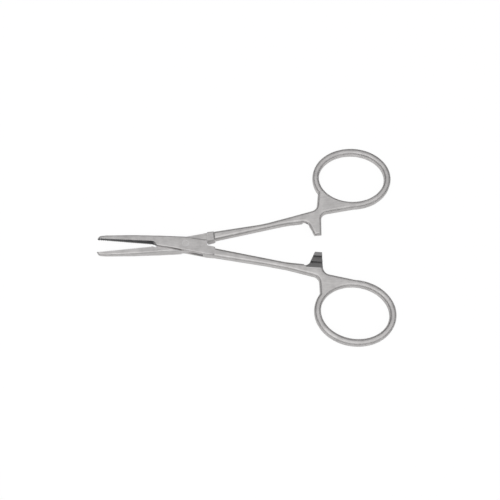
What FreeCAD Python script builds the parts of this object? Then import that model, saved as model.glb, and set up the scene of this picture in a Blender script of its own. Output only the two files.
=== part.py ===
import FreeCAD, Part
import math
import os
import Sketcher

# Straight haemostatic forceps with a box lock, lying open on a table.
# Frame: the pivot stands on +Z at the origin, the underside of the box is Z = 0,
# the jaws point along -X and the finger rings along +X.
# Each half is drawn with its gripping face on the X axis and is then turned
# about the pivot by half of the opening. In a half's drawing "across" is the
# distance from the X axis, positive on the side of that half's shank.

doc = FreeCAD.newDocument("forceps")
sheet = doc.addObject("Spreadsheet::Sheet", "Sizes")
row_number = 0


def size(alias, value, meaning):
    """Write one driving size into the sheet and give its value back."""
    global row_number
    row_number += 1
    sheet.set("A%d" % row_number, str(value))
    sheet.setAlias("A%d" % row_number, alias)
    sheet.set("B%d" % row_number, meaning)
    return value


# Opening of the halves in this pose, in degrees between the gripping faces.
opening = size("opening", 8.8, "angle between the two gripping faces")

# Heights, all of them even about the middle plane.
box_height = size("boxheight", 5.0, "height of the box lock")
shank_height = size("shankheight", 4.0, "height of shanks and rings")
jaw_root_height = size("jawrootheight", 4.6, "height of a jaw where it leaves the box")
jaw_tip_height = size("jawtipheight", 2.0, "height of a jaw at its tip")
window_height = size("windowheight", 2.3, "height of the window between the cheeks")
tongue_play = size("tongueplay", 0.05, "play of the tongue under each cheek")

# Jaws.
jaw_length = size("jawlength", 37.2, "pivot to jaw tip")
jaw_root = size("jawroot", 13.4, "pivot to the root of a jaw")
jaw_bend = size("jawbend", 22.0, "pivot to the bend of a jaw's outer edge")
jaw_bend_width = size("jawbendwidth", 2.5, "width of one jaw at that bend")
jaw_tip_width = size("jawtipwidth", 1.6, "width of one jaw at its tip")
face_gap = size("facegap", 0.1, "gripping face to the X axis")
nose_round = size("noseround", 1.25, "rounding of the tip in plan")
jaw_round = size("jawround", 0.75, "rounding of the outer edges of jaw and box")
size("cheekround", 0.6, "rounding of the cheek edges on the shank side")
tooth_pitch = size("toothpitch", 0.8, "pitch of the cross serrations")
tooth_depth = size("toothdepth", 0.3, "depth of the cross serrations")
tooth_land = size("toothland", 0.7, "plain strip left at each end of the serrations")

# Box lock.
box_jaw_side = size("boxjawside", 3.1, "pivot line to the edge of the box on the jaw side")
box_end = size("boxend", 8.7, "pivot to the end of the cheeks")
box_end_side = size("boxendside", 2.3, "half breadth of the cheeks at their end")
crotch_gap = size("crotchgap", 0.28, "shank to the X axis at the crotch")
cheek_low_end = size("cheeklowend", 11.8, "pivot to the low corner of the cheeks")
cheek_low_side = size("cheeklowside", 1.45, "that corner from the X axis")
cheek_shank_side = size("cheekshankside", 4.25, "edge of the cheeks at the shank end")
cheek_slant = size("cheekslant", 0.5, "lean of the jaw end of the cheeks")
end_slant = size("endslant", 0.4, "lean of the shank end of the cheeks")
cheek_left = cheek_low_end + cheek_slant
size("crotchrise", 0.5, "rise of the inner edge over the step")
size("steprise", 0.2, "rise of the outer edge over the step")
size("stepramp", 0.6, "length of the ramp down to the shank")
size("jawease", 2.0, "length over which box height becomes jaw height")
throat_round = size("throatround", 0.8, "rounding in the throat of the jaws")
shoulder_play = size("shoulderplay", 0.15, "play between cheek edges and shoulders")
step_end = size("stepend", 12.4, "pivot to the step down to the shanks")
tongue_side = size("tongueside", 3.2, "edge of the tongue from the pivot")
tongue_bend = size("tonguebend", 1.5, "bend of the tongue edge from the pivot")
widest_opening = size("widestopening", 60, "largest angle between the gripping faces")
pin_diameter = size("pindiameter", 2.6, "pivot pin")
pin_play = size("pinplay", 0.05, "radial play of the pin in the tongue")
window_jaw_end = size("windowjawend", 7.6, "jaw end of the window")
window_shank_end = size("windowshankend", 7.4, "shank end of the window")
size("windowslant", 2.2, "lean of the shank end of the window")

# Shanks: inner edge, outer edge and rounding.
inner_bend = size("innerbend", 42.5, "pivot to the bend of the inner edge")
inner_bend_side = size("innerbendside", 5.15, "that bend from the X axis")
root_side = size("rootside", 5.5, "inner edge at the ratchet from the X axis")
waist = size("waist", 33.0, "pivot to the waist of the shanks")
flare = size("flare", 43.0, "pivot to the start of the flare")
flare_width = size("flarewidth", 2.85, "width of the shanks at the flare")
notch_side = size("notchside", 10.7, "outer edge at the notch from the X axis")
notch_end = size("notchend", 56.2, "pivot to the notch")
rim_round = size("rimround", 1.2, "rounding of the edges of shanks and rings")
bend_round = size("bendround", 45.0, "rounding of the bends of the shanks")
notch_round = size("notchround", 3.0, "fillet between shank and ring")

# Finger rings.
ring_long = size("ringlong", 14.0, "long half axis of the finger hole")
ring_short = size("ringshort", 11.1, "short half axis of the finger hole")
ring_band = size("ringband", 2.75, "breadth of the ring")

# Ratchet.
tab_start = size("tabstart", 51.6, "pivot to the near root of the ratchet tab")
tab_near = size("tabnear", 54.0, "pivot to the near corner of the tab end")
tab_far = size("tabfar", 57.0, "pivot to the far corner of the tab end")
tab_root = size("tabroot", 57.9, "pivot to the far root of the tab")
tab_over = size("tabover", 0.7, "tab end past the X axis")
tab_play = size("tabplay", 0.08, "tooth tips to the middle plane")
web_side = size("webside", 8.9, "web below the ring from the X axis")
web_round = size("webround", 3.2, "fillet between tab and web")
size("rootround", 2.5, "fillet between shank and tab")
ratchet_pitch = size("ratchetpitch", 2.65, "pitch of the ratchet teeth")
ratchet_first = size("ratchetfirst", 0.9, "first tooth from the X axis")
ratchet_depth = size("ratchetdepth", 0.7, "depth of the ratchet teeth")
size("reliefside", 6.9, "room for the other tab from the X axis")
ratchet_grooves = 2

# Each half was forged and bent by itself, so a few sizes differ.
own_sizes = {
    "box": {"side": -1, "waist": 3.0, "ring_x": 71.5, "ring_side": 24.8, "ring_turn": -3.6},
    "through": {"side": 1, "waist": 2.4, "ring_x": 72.8, "ring_side": 24.1, "ring_turn": 4.9},
}
for half_name, own in own_sizes.items():
    size(half_name + "waistwidth", own["waist"], "width of this shank at its waist")
    size(half_name + "ringx", own["ring_x"], "pivot to the middle of the ring")
    size(half_name + "ringside", own["ring_side"], "middle of the ring from the X axis")
    size(half_name + "ringturn", own["ring_turn"], "turn of the ring towards the X axis")
doc.recompute()

middle = "Sizes.boxheight / 2"


def origin_feature(body, role):
    """Find a base plane or axis of a body."""
    for feature in body.Origin.OriginFeatures:
        if feature.Role == role:
            return feature
    raise RuntimeError("no origin feature " + role)


def new_sketch(body, name, role, height=None):
    """Attach a sketch to a base plane, lifted by an expression."""
    sketch = body.newObject("Sketcher::SketchObject", name)
    sketch.AttachmentSupport = [(origin_feature(body, role), "")]
    sketch.MapMode = "FlatFace"
    if height is not None:
        sketch.setExpression("AttachmentOffset.Base.z", height)
    return sketch


def bind(sketch, kind, place, formula):
    """Add one dimension and tie it to a formula of the sheet."""
    value = float(sketch.evalExpression(formula))
    number = sketch.addConstraint(Sketcher.Constraint(kind, *place, value))
    sketch.setExpression("Constraints[%d]" % number, formula)


def trace(sketch, corners):
    """Draw a closed outline of straight sides through corners given as formulas."""
    points = []
    for across, along in corners:
        x = float(sketch.evalExpression(across))
        y = float(sketch.evalExpression(along))
        points.append(FreeCAD.Vector(x, y, 0))
    count = len(points)
    first = sketch.GeometryCount
    for i in range(count):
        sketch.addGeometry(Part.LineSegment(points[i], points[(i + 1) % count]), False)
    for i in range(count):
        follower = first + (i + 1) % count
        sketch.addConstraint(Sketcher.Constraint("Coincident", first + i, 2, follower, 1))
    for i in range(count):
        bind(sketch, "DistanceX", (first + i, 1), corners[i][0])
        bind(sketch, "DistanceY", (first + i, 1), corners[i][1])


def draw_ellipse(sketch, centre, long_half, short_half, turn):
    """Draw an ellipse whose centre, half axes and turn follow formulas."""
    x = float(sketch.evalExpression(centre[0]))
    y = float(sketch.evalExpression(centre[1]))
    a = float(sketch.evalExpression(long_half))
    b = float(sketch.evalExpression(short_half))
    angle = math.radians(float(sketch.evalExpression(turn)))
    middle_point = FreeCAD.Vector(x, y, 0)
    long_end = middle_point + FreeCAD.Vector(a * math.cos(angle), a * math.sin(angle), 0)
    short_end = middle_point + FreeCAD.Vector(-b * math.sin(angle), b * math.cos(angle), 0)
    shape = sketch.addGeometry(Part.Ellipse(long_end, short_end, middle_point), False)
    sketch.exposeInternalGeometry(shape)
    bind(sketch, "DistanceX", (shape, 3), centre[0])
    bind(sketch, "DistanceY", (shape, 3), centre[1])
    bind(sketch, "Distance", (shape + 1,), "2 * (%s)" % long_half)
    bind(sketch, "Distance", (shape + 2,), "2 * (%s)" % short_half)
    bind(sketch, "Angle", (shape + 1,), "(%s) * 1 deg" % turn)


def draw_circle(sketch, radius):
    """Draw a circle about the pivot."""
    value = float(sketch.evalExpression(radius))
    centre = FreeCAD.Vector(0, 0, 0)
    circle = sketch.addGeometry(Part.Circle(centre, FreeCAD.Vector(0, 0, 1), value), False)
    sketch.addConstraint(Sketcher.Constraint("Coincident", circle, 3, -1, 1))
    bind(sketch, "Radius", (circle,), radius)


def add_pad(body, sketch, height, symmetric=True):
    pad = body.newObject("PartDesign::Pad", sketch.Name.replace("Plan", "Pad"))
    pad.Profile = sketch
    pad.SideType = "Symmetric" if symmetric else "One side"
    pad.setExpression("Length", height)
    doc.recompute()
    return pad


def add_pocket(body, sketch, depth, symmetric=False, away=False):
    """Cut a pocket and make sure that it takes material away."""
    before = body.Shape.Volume
    pocket = body.newObject("PartDesign::Pocket", sketch.Name.replace("Plan", "Cut"))
    pocket.Profile = sketch
    pocket.SideType = "Symmetric" if symmetric else "One side"
    pocket.Reversed = away
    pocket.setExpression("Length", depth)
    doc.recompute()
    if not body.Shape.Volume < before:
        raise RuntimeError(pocket.Name + " cuts nothing")
    return pocket


def edges_where(shape, test):
    """Name the edges of which five points along the edge all pass a test."""
    names = []
    for number, edge in enumerate(shape.Edges, start=1):
        span = edge.LastParameter - edge.FirstParameter
        samples = [edge.valueAt(edge.FirstParameter + span * k / 4) for k in range(5)]
        if all(test(point) for point in samples):
            names.append("Edge%d" % number)
    return names


def add_fillet(body, base, name, test, radius):
    """Round the edges of the last feature that pass a test."""
    names = edges_where(base.Shape, test)
    if not names:
        raise RuntimeError("no edges for " + name)
    fillet = body.newObject("PartDesign::Fillet", name)
    fillet.Base = (base, names)
    fillet.setExpression("Radius", radius)
    doc.recompute()
    if not fillet.isValid():
        raise RuntimeError(name + " failed")
    return fillet


def near(first, second, reach=0.02):
    return abs(first - second) < reach


def make_shank(name):
    """Ring, web and shank of one half, with rounded rims."""
    own = own_sizes[name]
    side = own["side"]
    body = doc.addObject("PartDesign::Body", name + "_shank")

    def at(formula):
        return "(%s) * %d" % (formula, side)

    half_width = shank_height / 2
    top = box_height / 2 + half_width
    bottom = box_height / 2 - half_width

    # The ring is an oval disc that the finger hole goes through.
    ring_centre = ("Sizes.%sringx" % name, at("Sizes.%sringside" % name))
    ring_turn = at("-Sizes.%sringturn" % name)
    disc = new_sketch(body, name + "RingPlan", "XY_Plane", middle)
    outer_long = "Sizes.ringlong + Sizes.ringband"
    outer_short = "Sizes.ringshort + Sizes.ringband"
    draw_ellipse(disc, ring_centre, outer_long, outer_short, ring_turn)
    add_pad(body, disc, "Sizes.shankheight")

    # The shank narrows to a waist and flares into the web below the ring.
    slope = "(Sizes.innerbendside - Sizes.crotchgap) / (Sizes.innerbend - Sizes.boxend)"
    inner_waist = "Sizes.crotchgap + (Sizes.waist - Sizes.boxend) * " + slope
    inner_flare = "Sizes.crotchgap + (Sizes.flare - Sizes.boxend) * " + slope
    shank = new_sketch(body, name + "ShankPlan", "XY_Plane", middle)
    ring_low = "Sizes.%sringside - Sizes.ringshort - Sizes.ringband" % name
    trace(shank, [
        ("Sizes.boxend - 1", at("Sizes.crotchgap")),
        ("Sizes.innerbend", at("Sizes.innerbendside")),
        ("Sizes.tabstart", at("Sizes.rootside")),
        ("Sizes.tabnear", at("-Sizes.tabover")),
        ("Sizes.tabfar", at("-Sizes.tabover")),
        ("Sizes.tabroot", at("Sizes.webside")),
        ("Sizes.%sringx" % name, at(ring_low + " + 0.05")),
        ("Sizes.%sringx" % name, at(ring_low + " + Sizes.ringband")),
        ("Sizes.%sringx - Sizes.ringlong" % name, at("Sizes.%sringside" % name)),
        ("Sizes.notchend", at("Sizes.notchside")),
        ("Sizes.flare", at(inner_flare + " + Sizes.flarewidth")),
        ("Sizes.waist", at(inner_waist + " + Sizes.%swaistwidth" % name)),
        ("Sizes.boxend - 1", at("Sizes.cheekshankside")),
    ])
    add_pad(body, shank, "Sizes.shankheight")
    hole = new_sketch(body, name + "HolePlan", "XY_Plane", middle)
    draw_ellipse(hole, ring_centre, "Sizes.ringlong", "Sizes.ringshort", ring_turn)
    cut = add_pocket(body, hole, "Sizes.shankheight + 2", symmetric=True)

    # Corners of the plan are rounded first, then all rims of ring and shank.
    def corner(along, across, reach=0.3):
        return lambda point: near(point.x, along, reach) and near(point.y * side, across, reach)

    notch = add_fillet(body, cut, name + "Notch", corner(notch_end, notch_side), "Sizes.notchround")
    web = add_fillet(body, notch, name + "Web", corner(tab_root, web_side), "Sizes.webround")
    root = add_fillet(body, web, name + "Root", corner(tab_start, root_side), "Sizes.rootround")

    def is_bend(point):
        on_inner = near(point.x, inner_bend, 0.3) and point.y * side < inner_bend_side + 0.3
        on_outer = near(point.x, waist, 0.3) or near(point.x, flare, 0.3)
        return on_inner or on_outer and point.y * side > inner_bend_side

    bends = add_fillet(body, root, name + "Bends", is_bend, "Sizes.bendround")

    def is_rim(point):
        return near(point.z, top) or near(point.z, bottom)

    add_fillet(body, bends, name + "Rims", is_rim, "Sizes.rimround")
    return body


def make_half(name, plan):
    """Box block and jaw of one half, rounded, then joined with its shank."""
    side = own_sizes[name]["side"]
    body = doc.addObject("PartDesign::Body", name + "_half")
    body.Label = name + "_half"
    block = new_sketch(body, name + "BlockPlan", "XY_Plane", middle)
    trace(block, [(along, "(%s) * %d" % (across, side)) for along, across in plan])
    pad = add_pad(body, block, "Sizes.boxheight")
    nose_side = face_gap + jaw_tip_width
    mid = box_height / 2

    def is_nose(point):
        return near(point.x, -jaw_length, 0.1) and near(-point.y * side, nose_side, 0.1)

    base = add_fillet(body, pad, name + "Nose", is_nose, "Sizes.noseround")
    if name == "box":
        def is_throat(point):
            return near(point.x, -cheek_left, 0.05) and near(-point.y * side, face_gap, 0.05)

        base = add_fillet(body, base, name + "Throat", is_throat, "Sizes.throatround")

    # The jaw loses height from both faces towards its tip, and the box ends in
    # a short ramp down to the shank.
    taper = "(Sizes.jawrootheight - Sizes.jawtipheight) / (Sizes.jawlength - Sizes.jawroot)"
    past_tip = "(Sizes.jawtipheight - %s * Sizes.jawease) / 2" % taper
    for sign, label in ((1, "Over"), (-1, "Under")):
        surface = "Sizes.boxheight / 2 + %d * (%s)"
        wedge = new_sketch(body, name + label + "JawPlan", "XZ_Plane")
        trace(wedge, [
            ("-Sizes.jawroot + Sizes.jawease", surface % (sign, "Sizes.boxheight / 2")),
            ("-Sizes.jawroot", surface % (sign, "Sizes.jawrootheight / 2")),
            ("-Sizes.jawlength - Sizes.jawease", surface % (sign, past_tip)),
            ("-Sizes.jawlength - Sizes.jawease", surface % (sign, "Sizes.boxheight")),
            ("-Sizes.jawroot + Sizes.jawease", surface % (sign, "Sizes.boxheight")),
        ])
        add_pocket(body, wedge, "8 * Sizes.boxjawside", symmetric=True)
        ramp = new_sketch(body, name + label + "StepPlan", "XZ_Plane")
        trace(ramp, [
            ("Sizes.stepend - Sizes.stepramp", surface % (sign, "Sizes.boxheight / 2")),
            ("Sizes.stepend", surface % (sign, "Sizes.shankheight / 2")),
            ("Sizes.stepend", surface % (sign, "Sizes.boxheight")),
            ("Sizes.stepend - Sizes.stepramp", surface % (sign, "Sizes.boxheight")),
        ])
        base = add_pocket(body, ramp, "8 * Sizes.boxjawside", symmetric=True)

    def is_jaw_edge(point):
        return abs(point.z - mid) > 0.8 and point.y * side < -face_gap - 0.15

    def is_cheek_edge(point):
        off_middle = abs(point.z - mid) > 0.8 and point.x < step_end + 0.01
        return off_middle and point.y * side > cheek_low_side - 0.2

    jaw = add_fillet(body, base, name + "JawEdges", is_jaw_edge, "Sizes.jawround")
    add_fillet(body, jaw, name + "CheekEdges", is_cheek_edge, "Sizes.cheekround")
    join = body.newObject("PartDesign::Boolean", name + "Join")
    join.Type = "Fuse"
    join.setObjects([make_shank(name)])
    doc.recompute()
    return body


def serrate(body, name):
    """Cut the cross serrations into the gripping face, from tip to root."""
    side = own_sizes[name]["side"]
    groove = new_sketch(body, name + "SerrationPlan", "XY_Plane")
    start = "-Sizes.jawlength + Sizes.toothland"
    face = "(-Sizes.facegap) * %d" % side
    clear = "(Sizes.facegap) * %d" % side
    floor = "(-Sizes.facegap - Sizes.toothdepth) * %d" % side
    trace(groove, [
        (start, clear),
        (start, face),
        (start + " + 0.4 * Sizes.toothpitch", floor),
        (start + " + 0.8 * Sizes.toothpitch", face),
        (start + " + 0.8 * Sizes.toothpitch", clear),
    ])
    cut = add_pocket(body, groove, "3 * Sizes.boxheight", symmetric=True)
    run = jaw_length - jaw_root - 2 * tooth_land
    count = int(run / tooth_pitch)
    pattern = body.newObject("PartDesign::LinearPattern", name + "Serrations")
    pattern.Originals = [cut]
    pattern.Direction = (origin_feature(body, "X_Axis"), [""])
    pattern.Mode = "Spacing"
    pattern.setExpression("Offset", "Sizes.toothpitch")
    pattern.Occurrences = count
    body.Tip = pattern
    doc.recompute()


def add_ratchet(body, name):
    """Halve the tab's height and cut saw teeth where it meets the other tab."""
    side = own_sizes[name]["side"]
    crest = "Sizes.boxheight / 2 + %d * Sizes.tabplay" % side
    relief = new_sketch(body, name + "ReliefPlan", "XY_Plane", crest)
    trace(relief, [(along, "(%s) * %d" % (across, side)) for along, across in [
        ("Sizes.tabstart - 4", "Sizes.rootside - 2"),
        ("Sizes.tabstart - 4", "-2 * Sizes.tabover"),
        ("Sizes.tabroot + 1", "-2 * Sizes.tabover"),
        ("Sizes.tabroot + 1", "Sizes.reliefside"),
        ("Sizes.tabstart - 1", "Sizes.reliefside"),
    ]])
    add_pocket(body, relief, "Sizes.shankheight", away=(side == -1))
    tooth = new_sketch(body, name + "ToothPlan", "YZ_Plane", "Sizes.tabfar")
    first = "Sizes.ratchetfirst"
    trace(tooth, [
        ("(%s) * %d" % (first, side), crest + " - %d * Sizes.tabplay" % side),
        ("(%s) * %d" % (first, side), crest + " + %d * Sizes.ratchetdepth" % side),
        ("(%s + Sizes.ratchetpitch) * %d" % (first, side), crest),
        ("(%s + Sizes.ratchetpitch) * %d" % (first, side), crest + " - %d * Sizes.tabplay" % side),
    ])
    cut = add_pocket(body, tooth, "4 * Sizes.tabroot - 4 * Sizes.tabstart", symmetric=True)
    pattern = body.newObject("PartDesign::LinearPattern", name + "Ratchet")
    pattern.Originals = [cut]
    pattern.Direction = (origin_feature(body, "Y_Axis"), [""])
    pattern.Reversed = side == -1
    pattern.Mode = "Spacing"
    pattern.setExpression("Offset", "Sizes.ratchetpitch")
    pattern.Occurrences = ratchet_grooves
    body.Tip = pattern
    doc.recompute()


def cut_window(body):
    """The long window between the cheeks, open on both sides of the box."""
    window = new_sketch(body, "WindowPlan", "XY_Plane", middle)
    far = "3 * Sizes.boxjawside"
    trace(window, [(along, "-(%s)" % across) for along, across in [
        ("-Sizes.cheeklowend - 2 * Sizes.cheekslant", "-Sizes.facegap - Sizes.tongueplay"),
        ("-Sizes.windowjawend", "-Sizes.boxjawside - Sizes.facegap"),
        ("-Sizes.windowjawend", "-%s" % far),
        ("Sizes.windowshankend + Sizes.windowslant", "-%s" % far),
        ("Sizes.windowshankend + Sizes.windowslant", "Sizes.crotchgap"),
        ("Sizes.windowshankend", "Sizes.cheekshankside"),
        ("Sizes.windowshankend", far),
        ("-Sizes.cheeklowend - 2 * Sizes.cheekslant", far),
    ]])
    add_pocket(body, window, "Sizes.windowheight", symmetric=True)


def thin_tongue(body):
    """Thin the half that passes through the box, leaving shoulders around it.

    The shoulder beside the jaw runs along the cheek's long edge and turns away
    from it where the cheek comes past at the widest opening.
    """
    slope = "(Sizes.cheekshankside - Sizes.cheeklowside) / (Sizes.boxend + Sizes.cheeklowend)"
    lean = "atan(%s)" % slope
    reach = "((Sizes.cheeklowside + Sizes.cheeklowend * %s) * cos(%s) + Sizes.shoulderplay)" % (slope, lean)
    half_turn = "(Sizes.widestopening / 2 * 1 deg)"
    turn_x = "-%s / cos(%s) * sin(%s + %s)" % (reach, half_turn, lean, half_turn)
    turn_y = "-%s / cos(%s) * cos(%s + %s)" % (reach, half_turn, lean, half_turn)
    away_x = turn_x + " + 2 * cos(%s + 2 * %s)" % (lean, half_turn)
    away_y = turn_y + " - 2 * sin(%s + 2 * %s)" % (lean, half_turn)
    jaw_end = "Sizes.cheeklowend + Sizes.cheekslant + Sizes.shoulderplay"
    edge_y = "-Sizes.cheeklowside + (%s - Sizes.cheeklowend) * %s - Sizes.shoulderplay" % (jaw_end, slope)
    shank_end = "Sizes.boxend + Sizes.endslant + Sizes.shoulderplay"
    far = "3 * Sizes.boxjawside"
    deep = "(Sizes.boxheight - Sizes.windowheight) / 2 + Sizes.tongueplay"
    for label, height, away in (("Upper", "Sizes.boxheight", False), ("Lower", "0", True)):
        plan = new_sketch(body, label + "RecessPlan", "XY_Plane", height)
        trace(plan, [
            ("-(%s)" % jaw_end, far),
            ("-(%s)" % jaw_end, edge_y),
            (turn_x, turn_y),
            (away_x, away_y),
            (away_x, "-" + far),
            (shank_end, "-" + far),
            (shank_end, far),
        ])
        cut = add_pocket(body, plan, deep, away=away)
    left = cheek_low_end + cheek_slant + shoulder_play

    def is_shoulder_corner(point):
        return near(point.x, -left, 0.05) and near(point.y, -face_gap, 0.05)

    add_fillet(body, cut, "ShoulderCorners", is_shoulder_corner, "Sizes.throatround + Sizes.shoulderplay")


def bore(body, name, radius):
    plan = new_sketch(body, name + "BorePlan", "XY_Plane", middle)
    draw_circle(plan, radius)
    add_pocket(body, plan, "2 * Sizes.boxheight", symmetric=True)


def turn_half(body, side):
    """Open the finished half about the pivot."""
    body.setExpression("Placement.Rotation.Angle", "Sizes.opening / 2 * %d * 1 deg" % side)


# The box half: its jaw lies on the +Y side and its shank on the -Y side. Two
# cheeks close the box above and below the window.
box_half = make_half("box", [
    ("-Sizes.jawlength", "-Sizes.facegap"),
    ("-Sizes.jawlength", "-Sizes.facegap - Sizes.jawtipwidth"),
    ("-Sizes.jawbend", "-Sizes.facegap - Sizes.jawbendwidth"),
    ("0", "-Sizes.boxjawside"),
    ("Sizes.boxend", "-Sizes.boxendside"),
    ("Sizes.boxend + Sizes.endslant", "Sizes.crotchgap"),
    ("Sizes.stepend", "Sizes.crotchgap + Sizes.crotchrise"),
    ("Sizes.stepend", "Sizes.cheekshankside + Sizes.steprise"),
    ("Sizes.boxend", "Sizes.cheekshankside"),
    ("-Sizes.cheeklowend", "Sizes.cheeklowside"),
    ("-Sizes.cheeklowend - Sizes.cheekslant", "-Sizes.facegap"),
])
cut_window(box_half)
bore(box_half, "Box", "Sizes.pindiameter / 2")
add_ratchet(box_half, "box")
serrate(box_half, "box")
turn_half(box_half, -1)

# The through half: its jaw lies on the -Y side, and its thin tongue passes the
# window to the shank on the +Y side.
through_half = make_half("through", [
    ("-Sizes.jawlength", "-Sizes.facegap"),
    ("-Sizes.jawlength", "-Sizes.facegap - Sizes.jawtipwidth"),
    ("-Sizes.jawbend", "-Sizes.facegap - Sizes.jawbendwidth"),
    ("-Sizes.tonguebend", "-Sizes.tongueside"),
    ("Sizes.tonguebend", "-Sizes.tongueside"),
    ("Sizes.boxend + Sizes.endslant", "Sizes.crotchgap"),
    ("Sizes.stepend", "Sizes.crotchgap + Sizes.crotchrise"),
    ("Sizes.stepend", "Sizes.cheekshankside + Sizes.steprise"),
    ("Sizes.boxend", "Sizes.cheekshankside"),
    ("-Sizes.tonguebend", "Sizes.tongueside"),
    ("-Sizes.cheeklowend - Sizes.cheekslant", "-Sizes.facegap"),
])
thin_tongue(through_half)
bore(through_half, "Through", "Sizes.pindiameter / 2 + Sizes.pinplay")
add_ratchet(through_half, "through")
serrate(through_half, "through")
turn_half(through_half, 1)

# The pin is pressed into both cheeks and ground flush with them.
pivot_pin = doc.addObject("Part::Cylinder", "pivot_pin")
pivot_pin.Label = "pivot_pin"
pivot_pin.setExpression("Radius", "Sizes.pindiameter / 2")
pivot_pin.setExpression("Height", "Sizes.boxheight")

doc.recompute()
for obj in doc.Objects:
    if "Invalid" in obj.State or "Error" in obj.State:
        raise RuntimeError(obj.Name + " failed")
os.makedirs("parts", exist_ok=True)
for piece in (box_half, through_half, pivot_pin):
    if piece.Shape.isNull() or not piece.Shape.isValid() or len(piece.Shape.Solids) != 1:
        raise RuntimeError(piece.Label + " has no sound solid")
    piece.Shape.exportStep("parts/%s.step" % piece.Label)
    print(piece.Label, round(piece.Shape.Volume, 1), len(piece.Shape.Faces))
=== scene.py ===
import math
import bmesh
import bpy
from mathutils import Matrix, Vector


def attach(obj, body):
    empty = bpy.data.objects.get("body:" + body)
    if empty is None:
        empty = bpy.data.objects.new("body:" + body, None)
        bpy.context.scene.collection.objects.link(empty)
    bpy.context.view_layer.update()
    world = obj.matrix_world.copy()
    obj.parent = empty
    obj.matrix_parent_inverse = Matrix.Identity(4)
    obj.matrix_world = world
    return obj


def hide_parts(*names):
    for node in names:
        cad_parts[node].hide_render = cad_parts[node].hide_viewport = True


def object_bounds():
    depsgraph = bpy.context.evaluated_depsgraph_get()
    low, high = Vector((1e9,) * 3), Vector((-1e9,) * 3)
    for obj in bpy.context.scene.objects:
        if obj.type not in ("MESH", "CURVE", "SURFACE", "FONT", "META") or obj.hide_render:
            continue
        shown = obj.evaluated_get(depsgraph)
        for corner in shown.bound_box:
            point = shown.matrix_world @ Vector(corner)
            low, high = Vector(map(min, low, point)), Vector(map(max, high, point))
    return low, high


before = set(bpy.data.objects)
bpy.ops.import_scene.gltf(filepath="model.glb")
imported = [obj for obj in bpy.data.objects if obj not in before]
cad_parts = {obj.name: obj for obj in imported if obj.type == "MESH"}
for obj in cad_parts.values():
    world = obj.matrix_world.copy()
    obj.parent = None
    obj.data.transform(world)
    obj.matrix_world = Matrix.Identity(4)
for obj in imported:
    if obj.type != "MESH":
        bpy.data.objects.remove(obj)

MM = 0.001
cad_low, cad_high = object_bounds()

# The two halves are drop-forged stainless steel, ground flat on box and jaws and
# brushed to a satin finish elsewhere. Their ratchet teeth and gripping faces are
# painted near black, partly for the darker finish of the cutter and partly as
# painted shade.
half_opening = math.radians(4.4)


def own_place(spot, side):
    """Where a spot lies along and across its half, in millimetres.

    The side is -1 for the box half and 1 for the through half. Along runs from
    the pivot towards the ring, and across is negative on the side of the jaw.
    """
    turn = half_opening * side
    along = spot.x * math.cos(turn) + spot.y * math.sin(turn)
    across = (spot.y * math.cos(turn) - spot.x * math.sin(turn)) * side
    return along / MM, across / MM


# The jaws are cut across at these places, so that only their own corners move.
dressed_places = (-6.7, -33.5, -35.5)
cut_tolerance = 0.0001 * MM

# How far the throat's root and its outer corner move, along and across the half.
throat_place = (-13.6, -10.5)
throat_skin = -0.2
throat_rounding = 0.25
throats = {
    -1: {"root": Vector((-0.8, 0)), "corner": Vector((0.4, 0.35)), "reach": 1.8},
    1: {"root": Vector((-0.6, 0)), "corner": Vector((0.8, -0.45)), "reach": 1.75},
}

# The back of each tip is drawn in and shortened a little towards its end.
tip_start = -33.0
tip_back = -0.42
tip_reach = 4.2
tip_dressing = 0.45
tip_shortening = 0.3


def dress_jaw(solid, side):
    """Slant the throat between jaw and box and dress the jaw to a finer tip."""
    turn = half_opening * side
    lengthwise = Vector((math.cos(turn), math.sin(turn), 0))
    crosswise = Vector((-math.sin(turn), math.cos(turn), 0)) * side
    for place in dressed_places:
        bmesh.ops.bisect_plane(
            solid,
            geom=list(solid.verts) + list(solid.edges) + list(solid.faces),
            dist=cut_tolerance,
            plane_co=lengthwise * place * MM,
            plane_no=lengthwise,
        )
    throat = throats[side]
    for vertex in solid.verts:
        along, across = own_place(vertex.co, side)
        in_throat = throat_place[0] < along < throat_place[1]
        # The box half's throat runs into its cheeks, the other's into its jaw.
        depth = -across * side
        if in_throat and throat_skin < depth < throat["reach"]:
            share = min(max(depth / (throat["reach"] - throat_rounding), 0), 1)
            shift = throat["root"].lerp(throat["corner"], share)
            vertex.co += (lengthwise * shift.x + crosswise * shift.y) * MM
        elif along < tip_start and across < tip_back:
            finer = tip_dressing * ((tip_start - along) / tip_reach) ** 2
            vertex.co += (crosswise + lengthwise * tip_shortening) * finer * MM


# The places of the ratchet teeth and of the gripping faces, in millimetres, and
# the least normals of a face that lies level and of one that faces sideways.
# These faces are painted dark, partly for the cutter's finish and partly as painted shade.
tab_reach = (51.0, 58.6)
tab_layer = (1.2, 3.8)
tab_root = 7.2
tab_tip = 0.2
tooth_flank_share = 0.6
jaw_face_end = -13.0
jaw_face_depth = 0.6
level_normal = 0.5
sideways_normal = 0.7


def cutter_and_shade_share(face, side):
    """How much of the cutter's dark finish and painted shade a face of a half keeps, from 0 to
    1.
    """
    turn = half_opening * side
    middle = face.calc_center_median()
    along, across = own_place(middle, side)
    levelness = abs(face.normal.z)
    sideways = abs(face.normal.y * math.cos(turn) - face.normal.x * math.sin(turn))
    on_tab = tab_reach[0] < along < tab_reach[1] and across < tab_root
    on_teeth = on_tab and tab_layer[0] < middle.z / MM < tab_layer[1]
    if on_teeth and levelness > level_normal:
        return tooth_flank_share
    if on_teeth and sideways > sideways_normal and across > tab_tip:
        return 1.0
    on_jaw = along < jaw_face_end and across > -jaw_face_depth
    return 1.0 if on_jaw and levelness < level_normal else 0.0


step_reach = (11.5, 12.6)
step_level = 0.05 * MM


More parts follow.
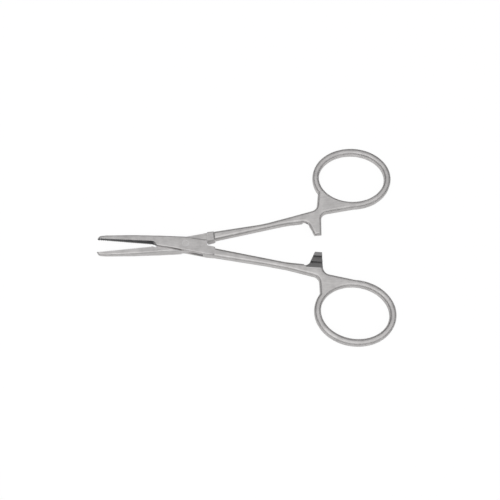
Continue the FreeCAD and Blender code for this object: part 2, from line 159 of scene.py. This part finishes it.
def on_step(edge, side):
    """Whether an edge runs across the blended step from the box to the shank."""
    lengths = [own_place(vertex.co, side)[0] for vertex in edge.verts]
    flat = abs(edge.verts[0].co.z - edge.verts[1].co.z) < step_level
    return flat and all(step_reach[0] < length < step_reach[1] for length in lengths)


crease_angle = math.radians(28)
merge_distance = 0.002 * MM
sliver_length = 0.001 * MM


def finished_copy(node, body, side=0):
    """A copy of a solid with joined facets, smooth rounds, and cut faces marked for the
    cutter's finish and painted shade.
    """
    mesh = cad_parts[node].data.copy()
    solid = bmesh.new()
    solid.from_mesh(mesh)
    bmesh.ops.remove_doubles(solid, verts=solid.verts, dist=merge_distance)
    bmesh.ops.dissolve_degenerate(solid, edges=solid.edges, dist=sliver_length)
    if side:
        dress_jaw(solid, side)
    # Teeth and gripping faces get a share that paints them dark, partly for the cutter's finish
    # and partly as painted shade.
    milled_and_shaded = solid.faces.layers.float.new("milled_and_shaded")
    for face in solid.faces:
        face.smooth = True
        face[milled_and_shaded] = cutter_and_shade_share(face, side) if side else 0.0
    for edge in solid.edges:
        # Only the box half's step to its shank is blended.
        blended = side == -1 and on_step(edge, side)
        edge.smooth = blended or edge.calc_face_angle(0) < crease_angle
    solid.to_mesh(mesh)
    solid.free()
    mesh.materials.clear()
    piece = bpy.data.objects.new(node + "_satin", mesh)
    bpy.context.scene.collection.objects.link(piece)
    flats = piece.modifiers.new("flat_faces_stay_flat", "WEIGHTED_NORMAL")
    flats.keep_sharp = True
    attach(piece, body)
    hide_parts(node)
    return piece


def feed(tree, value, socket):
    """Give a socket another socket's value, a colour or a plain number."""
    if isinstance(value, bpy.types.NodeSocket):
        tree.links.new(value, socket)
    elif isinstance(value, tuple):
        socket.default_value = (*value, 1)
    else:
        socket.default_value = value


def reckoned(tree, operation, *values):
    """The result of a product, a quotient or the like of sockets and numbers."""
    node = tree.nodes.new("ShaderNodeMath")
    node.operation = operation
    for value, socket in zip(values, node.inputs):
        feed(tree, value, socket)
    return node.outputs[0]


def mixed_colour(tree, share, base, over):
    """A colour that goes from the base to the one laid over it by the share."""
    node = tree.nodes.new("ShaderNodeMixRGB")
    feed(tree, share, node.inputs["Fac"])
    feed(tree, base, node.inputs["Color1"])
    feed(tree, over, node.inputs["Color2"])
    return node.outputs["Color"]


def brushed_group():
    """Fine brushing along X, soft clouds and rubbed edges with a painted highlight, each as a
    mask.
    """
    group = bpy.data.node_groups.new("brushed_steel", "ShaderNodeTree")
    for name, value in (
        ("Turn", 0.0),
        ("Grain Width mm", 0.12),
        ("Grain Length mm", 5.0),
        ("Cloud Size mm", 4.0),
        ("Rubbed Reach mm", 0.35),
    ):
        socket = group.interface.new_socket(name, in_out="INPUT", socket_type="NodeSocketFloat")
        socket.default_value = value
    for name in ("Grain", "Cloud", "Rubbed And Highlit"):
        group.interface.new_socket(name, in_out="OUTPUT", socket_type="NodeSocketFloat")
    nodes = group.nodes
    inputs = nodes.new("NodeGroupInput")
    outputs = nodes.new("NodeGroupOutput")

    spot = nodes.new("ShaderNodeTexCoord")
    turn = nodes.new("ShaderNodeVectorRotate")
    turn.rotation_type = "Z_AXIS"
    feed(group, spot.outputs["Object"], turn.inputs["Vector"])
    feed(group, inputs.outputs["Turn"], turn.inputs["Angle"])
    split = nodes.new("ShaderNodeSeparateXYZ")
    feed(group, turn.outputs["Vector"], split.inputs["Vector"])

    def counted_in(*sizes):
        """The spot's place along X, Y and Z, counted in these inputs' sizes."""
        counted = nodes.new("ShaderNodeCombineXYZ")
        for axis, size in zip("XYZ", sizes):
            millimetres = reckoned(group, "MULTIPLY", split.outputs[axis], 1 / MM)
            count = reckoned(group, "DIVIDE", millimetres, inputs.outputs[size])
            feed(group, count, counted.inputs[axis])
        return counted.outputs["Vector"]

    def full_noise(place, detail, roughness):
        """A noise, which keeps near its middle, stretched to the full range."""
        noise = nodes.new("ShaderNodeTexNoise")
        noise.inputs["Scale"].default_value = 1.0
        noise.inputs["Detail"].default_value = detail
        noise.inputs["Roughness"].default_value = roughness
        feed(group, place, noise.inputs["Vector"])
        spread = nodes.new("ShaderNodeMapRange")
        spread.inputs["From Min"].default_value = 0.3
        spread.inputs["From Max"].default_value = 0.7
        feed(group, noise.outputs["Fac"], spread.inputs["Value"])
        return spread.outputs["Result"]

    grain_place = counted_in("Grain Length mm", "Grain Width mm", "Grain Width mm")
    grain = full_noise(grain_place, detail=3.0, roughness=0.6)
    feed(group, grain, outputs.inputs["Grain"])
    cloud_place = counted_in("Cloud Size mm", "Cloud Size mm", "Cloud Size mm")
    cloud = full_noise(cloud_place, detail=4.0, roughness=0.65)
    feed(group, cloud, outputs.inputs["Cloud"])

    # A rounded normal differs from the true one only near an edge. This marks the
    # edges that are painted lighter, partly as wear and partly as a painted highlight.
    reach = reckoned(group, "MULTIPLY", inputs.outputs["Rubbed Reach mm"], MM)
    rounded = nodes.new("ShaderNodeBevel")
    rounded.samples = 6
    feed(group, reach, rounded.inputs["Radius"])
    surface = nodes.new("ShaderNodeNewGeometry")
    match = nodes.new("ShaderNodeVectorMath")
    match.operation = "DOT_PRODUCT"
    feed(group, rounded.outputs["Normal"], match.inputs[0])
    feed(group, surface.outputs["Normal"], match.inputs[1])
    rubbed_and_highlit = nodes.new("ShaderNodeMapRange")
    rubbed_and_highlit.inputs["From Min"].default_value = 0.995
    rubbed_and_highlit.inputs["From Max"].default_value = 0.86
    feed(group, match.outputs["Value"], rubbed_and_highlit.inputs["Value"])
    feed(group, rubbed_and_highlit.outputs["Result"], outputs.inputs["Rubbed And Highlit"])
    return group


brushed = brushed_group()
steel_dark = (0.50, 0.487, 0.483)
steel_light = (0.86, 0.842, 0.836)
# Lighter steel for the edges: partly wear, partly a painted highlight.
rubbed_steel_and_highlight = (0.86, 0.86, 0.87)
# Near black for the teeth and gripping faces: partly the cutter's finish, partly painted shade.
cut_steel_and_shade = (0.13, 0.13, 0.134)
grain_share = 0.55
rubbed_and_highlight_share = 0.6
rubbed_polish = 0.12
grain_roughness = 0.07
grain_depth = 0.01 * MM


def satin_steel(name, turn, roughness, anisotropy):
    """Brushed stainless steel with its grain turned about Z by an angle."""
    material = bpy.data.materials.new(name)
    material.use_nodes = True
    tree = material.node_tree
    steel = tree.nodes["Principled BSDF"]
    steel.inputs["Metallic"].default_value = 1.0
    steel.inputs["Anisotropic"].default_value = anisotropy
    finish = tree.nodes.new("ShaderNodeGroup")
    finish.node_tree = brushed
    finish.inputs["Turn"].default_value = turn

    clouds = reckoned(tree, "MULTIPLY", finish.outputs["Cloud"], 1 - grain_share)
    mottle = reckoned(tree, "MULTIPLY_ADD", finish.outputs["Grain"], grain_share, clouds)
    satin = mixed_colour(tree, mottle, steel_dark, steel_light)
    # The edges are painted lighter, partly as wear and partly as a painted highlight.
    worn_and_highlit = reckoned(tree, "MULTIPLY", finish.outputs["Rubbed And Highlit"], rubbed_and_highlight_share)
    rubbed_and_highlit = mixed_colour(tree, worn_and_highlit, satin, rubbed_steel_and_highlight)
    # The teeth and gripping faces are painted near black, partly the cutter's finish and partly
    # painted shade.
    milled_and_shaded = tree.nodes.new("ShaderNodeAttribute")
    milled_and_shaded.attribute_name = "milled_and_shaded"
    tone = mixed_colour(tree, milled_and_shaded.outputs["Fac"], rubbed_and_highlit, cut_steel_and_shade)
    feed(tree, tone, steel.inputs["Base Color"])

    gloss = tree.nodes.new("ShaderNodeMapRange")
    gloss.inputs["To Min"].default_value = roughness - grain_roughness
    gloss.inputs["To Max"].default_value = roughness + grain_roughness
    feed(tree, finish.outputs["Grain"], gloss.inputs["Value"])
    grained = gloss.outputs["Result"]
    polished = reckoned(tree, "MULTIPLY_ADD", finish.outputs["Rubbed And Highlit"], -rubbed_polish, grained)
    feed(tree, polished, steel.inputs["Roughness"])

    relief = tree.nodes.new("ShaderNodeBump")
    relief.inputs["Strength"].default_value = 0.25
    relief.inputs["Distance"].default_value = grain_depth
    feed(tree, finish.outputs["Grain"], relief.inputs["Height"])
    feed(tree, relief.outputs["Normal"], steel.inputs["Normal"])
    return material


# The box half: one forging with its jaw at the top of the photograph's view,
# two cheeks that close the lock above and below, and the near shank and ring.
box_half = finished_copy("box_half", "box_side", side=-1)
box_satin = satin_steel("box_satin", turn=half_opening, roughness=0.50, anisotropy=0.3)
box_half.data.materials.append(box_satin)

# The through half: a forging like the other, thinned to a tongue that passes
# through the window between the cheeks.
through_half = finished_copy("through_half", "through_side", side=1)
through_satin = satin_steel("through_satin", turn=-half_opening, roughness=0.50, anisotropy=0.3)
through_half.data.materials.append(through_satin)

# The pivot pin is pressed through both cheeks and ground flush with them, a
# little finer than the forgings, so it shows only as a faint ring on the box.
pivot_pin = finished_copy("pivot_pin", "box_side")
pin_satin = satin_steel("pin_satin", turn=math.radians(40), roughness=0.42, anisotropy=0.2)
pivot_pin.data.materials.append(pin_satin)

# The table is a pale matt sheet under the tool. The camera sees it as plain
# white, and the steel mirrors only part of that glow.
table_half_width = 3.0
table_paint = (0.9, 0.9, 0.9)
glow_strength = 1.05
glow_share = 0.9
mirrored_glow = 0.3
table_mesh = bpy.data.meshes.new("floor")
table_form = bmesh.new()
bmesh.ops.create_grid(table_form, x_segments=1, y_segments=1, size=table_half_width)
table_form.to_mesh(table_mesh)
table_form.free()
table = bpy.data.objects.new("floor", table_mesh)
bpy.context.scene.collection.objects.link(table)
table_finish = bpy.data.materials.new("floor_paint")
table_finish.use_nodes = True
table_tree = table_finish.node_tree
paint = table_tree.nodes["Principled BSDF"]
feed(table_tree, table_paint, paint.inputs["Base Color"])
paint.inputs["Roughness"].default_value = 0.9
glow = table_tree.nodes.new("ShaderNodeEmission")
glow.inputs["Strength"].default_value = glow_strength
ray = table_tree.nodes.new("ShaderNodeLightPath").outputs
seen = reckoned(table_tree, "MAXIMUM", ray["Is Camera Ray"], ray["Is Transmission Ray"])
shown = reckoned(table_tree, "MULTIPLY_ADD", ray["Is Glossy Ray"], mirrored_glow, seen)
glowing = reckoned(table_tree, "MULTIPLY", shown, glow_share)
table_look = table_tree.nodes.new("ShaderNodeMixShader")
feed(table_tree, glowing, table_look.inputs["Fac"])
feed(table_tree, paint.outputs["BSDF"], table_look.inputs[1])
feed(table_tree, glow.outputs["Emission"], table_look.inputs[2])
table_surface = table_tree.nodes["Material Output"].inputs["Surface"]
feed(table_tree, table_look.outputs["Shader"], table_surface)
table_mesh.materials.append(table_finish)

# The room is brightest above the near side of the table and falls off towards a
# dim horizon, which the rounded edges of the steel pick up as darker lines. Each
# level belongs to the height over that horizon, and the camera sees only white.
brightest = Vector((0.0, -0.26, 0.97)).normalized()
horizon_colour = (0.08, 0.08, 0.083)
overhead_colour = (0.90, 0.90, 0.90)
room_levels = ((0.45, 0.19), (0.70, 0.56), (0.80, 1.0))
room = bpy.data.worlds.new("studio")
bpy.context.scene.world = room
room.use_nodes = True
room_tree = room.node_tree
direction = room_tree.nodes.new("ShaderNodeTexCoord")
height = room_tree.nodes.new("ShaderNodeVectorMath")
height.operation = "DOT_PRODUCT"
height.inputs[1].default_value = brightest
feed(room_tree, direction.outputs["Generated"], height.inputs[0])
fade = room_tree.nodes.new("ShaderNodeValToRGB")
horizon, overhead = fade.color_ramp.elements
horizon.position = 0.0
horizon.color = (*horizon_colour, 1)
overhead.position = 1.0
overhead.color = (*overhead_colour, 1)
for position, level in room_levels:
    between = fade.color_ramp.elements.new(position)
    between.color = (level, level, level, 1)
feed(room_tree, height.outputs["Value"], fade.inputs["Fac"])
room_ray = room_tree.nodes.new("ShaderNodeLightPath").outputs
backdrop = mixed_colour(room_tree, room_ray["Is Camera Ray"], fade.outputs["Color"], (1, 1, 1))
feed(room_tree, backdrop, room_tree.nodes["Background"].inputs["Color"])

# Two studio softboxes on stands light the tool: the key one above the near side,
# to the left, and a wider, weaker one on the far side that lifts the far edges.
tool_middle = (cad_low + cad_high) / 2


def softbox(name, place_mm, size_mm, watts):
    """An area lamp aimed at the middle of the tool."""
    lamp = bpy.data.lights.new(name, "AREA")
    lamp.shape = "RECTANGLE"
    lamp.size, lamp.size_y = (side * MM for side in size_mm)
    lamp.energy = watts
    holder = bpy.data.objects.new(name, lamp)
    holder.location = Vector(place_mm) * MM
    aim = tool_middle - holder.location
    holder.rotation_euler = aim.to_track_quat("-Z", "Y").to_euler()
    bpy.context.scene.collection.objects.link(holder)


softbox("key_softbox", place_mm=(-120, -260, 480), size_mm=(260, 160), watts=0.22)
softbox("far_softbox", place_mm=(-60, 460, 380), size_mm=(420, 220), watts=0.1)

# The camera looks down on the tool from 70 degrees, as in the photograph, and
# stands near enough for the jaws and rings to keep that picture's perspective.
camera_distance = 380 * MM
camera_azimuth = math.radians(-0.6)
camera_elevation = math.radians(70)
seen_width = 209 * MM
sensor_width = 36.0
aim_point = Vector((26.8, -2.43, 2.5)) * MM
camera_data = bpy.data.cameras.new("camera")
camera_data.sensor_width = sensor_width
camera_data.lens = sensor_width * camera_distance / seen_width
camera_data.clip_start = 10 * MM
camera = bpy.data.objects.new("camera", camera_data)
back = Vector((
    math.sin(camera_azimuth) * math.cos(camera_elevation),
    -math.cos(camera_azimuth) * math.cos(camera_elevation),
    math.sin(camera_elevation),
))
camera.location = aim_point + back * camera_distance
camera.rotation_euler = (-back).to_track_quat("-Z", "Y").to_euler()
bpy.context.scene.collection.objects.link(camera)
bpy.context.scene.camera = camera
bpy.context.scene.view_settings.view_transform = "Standard"
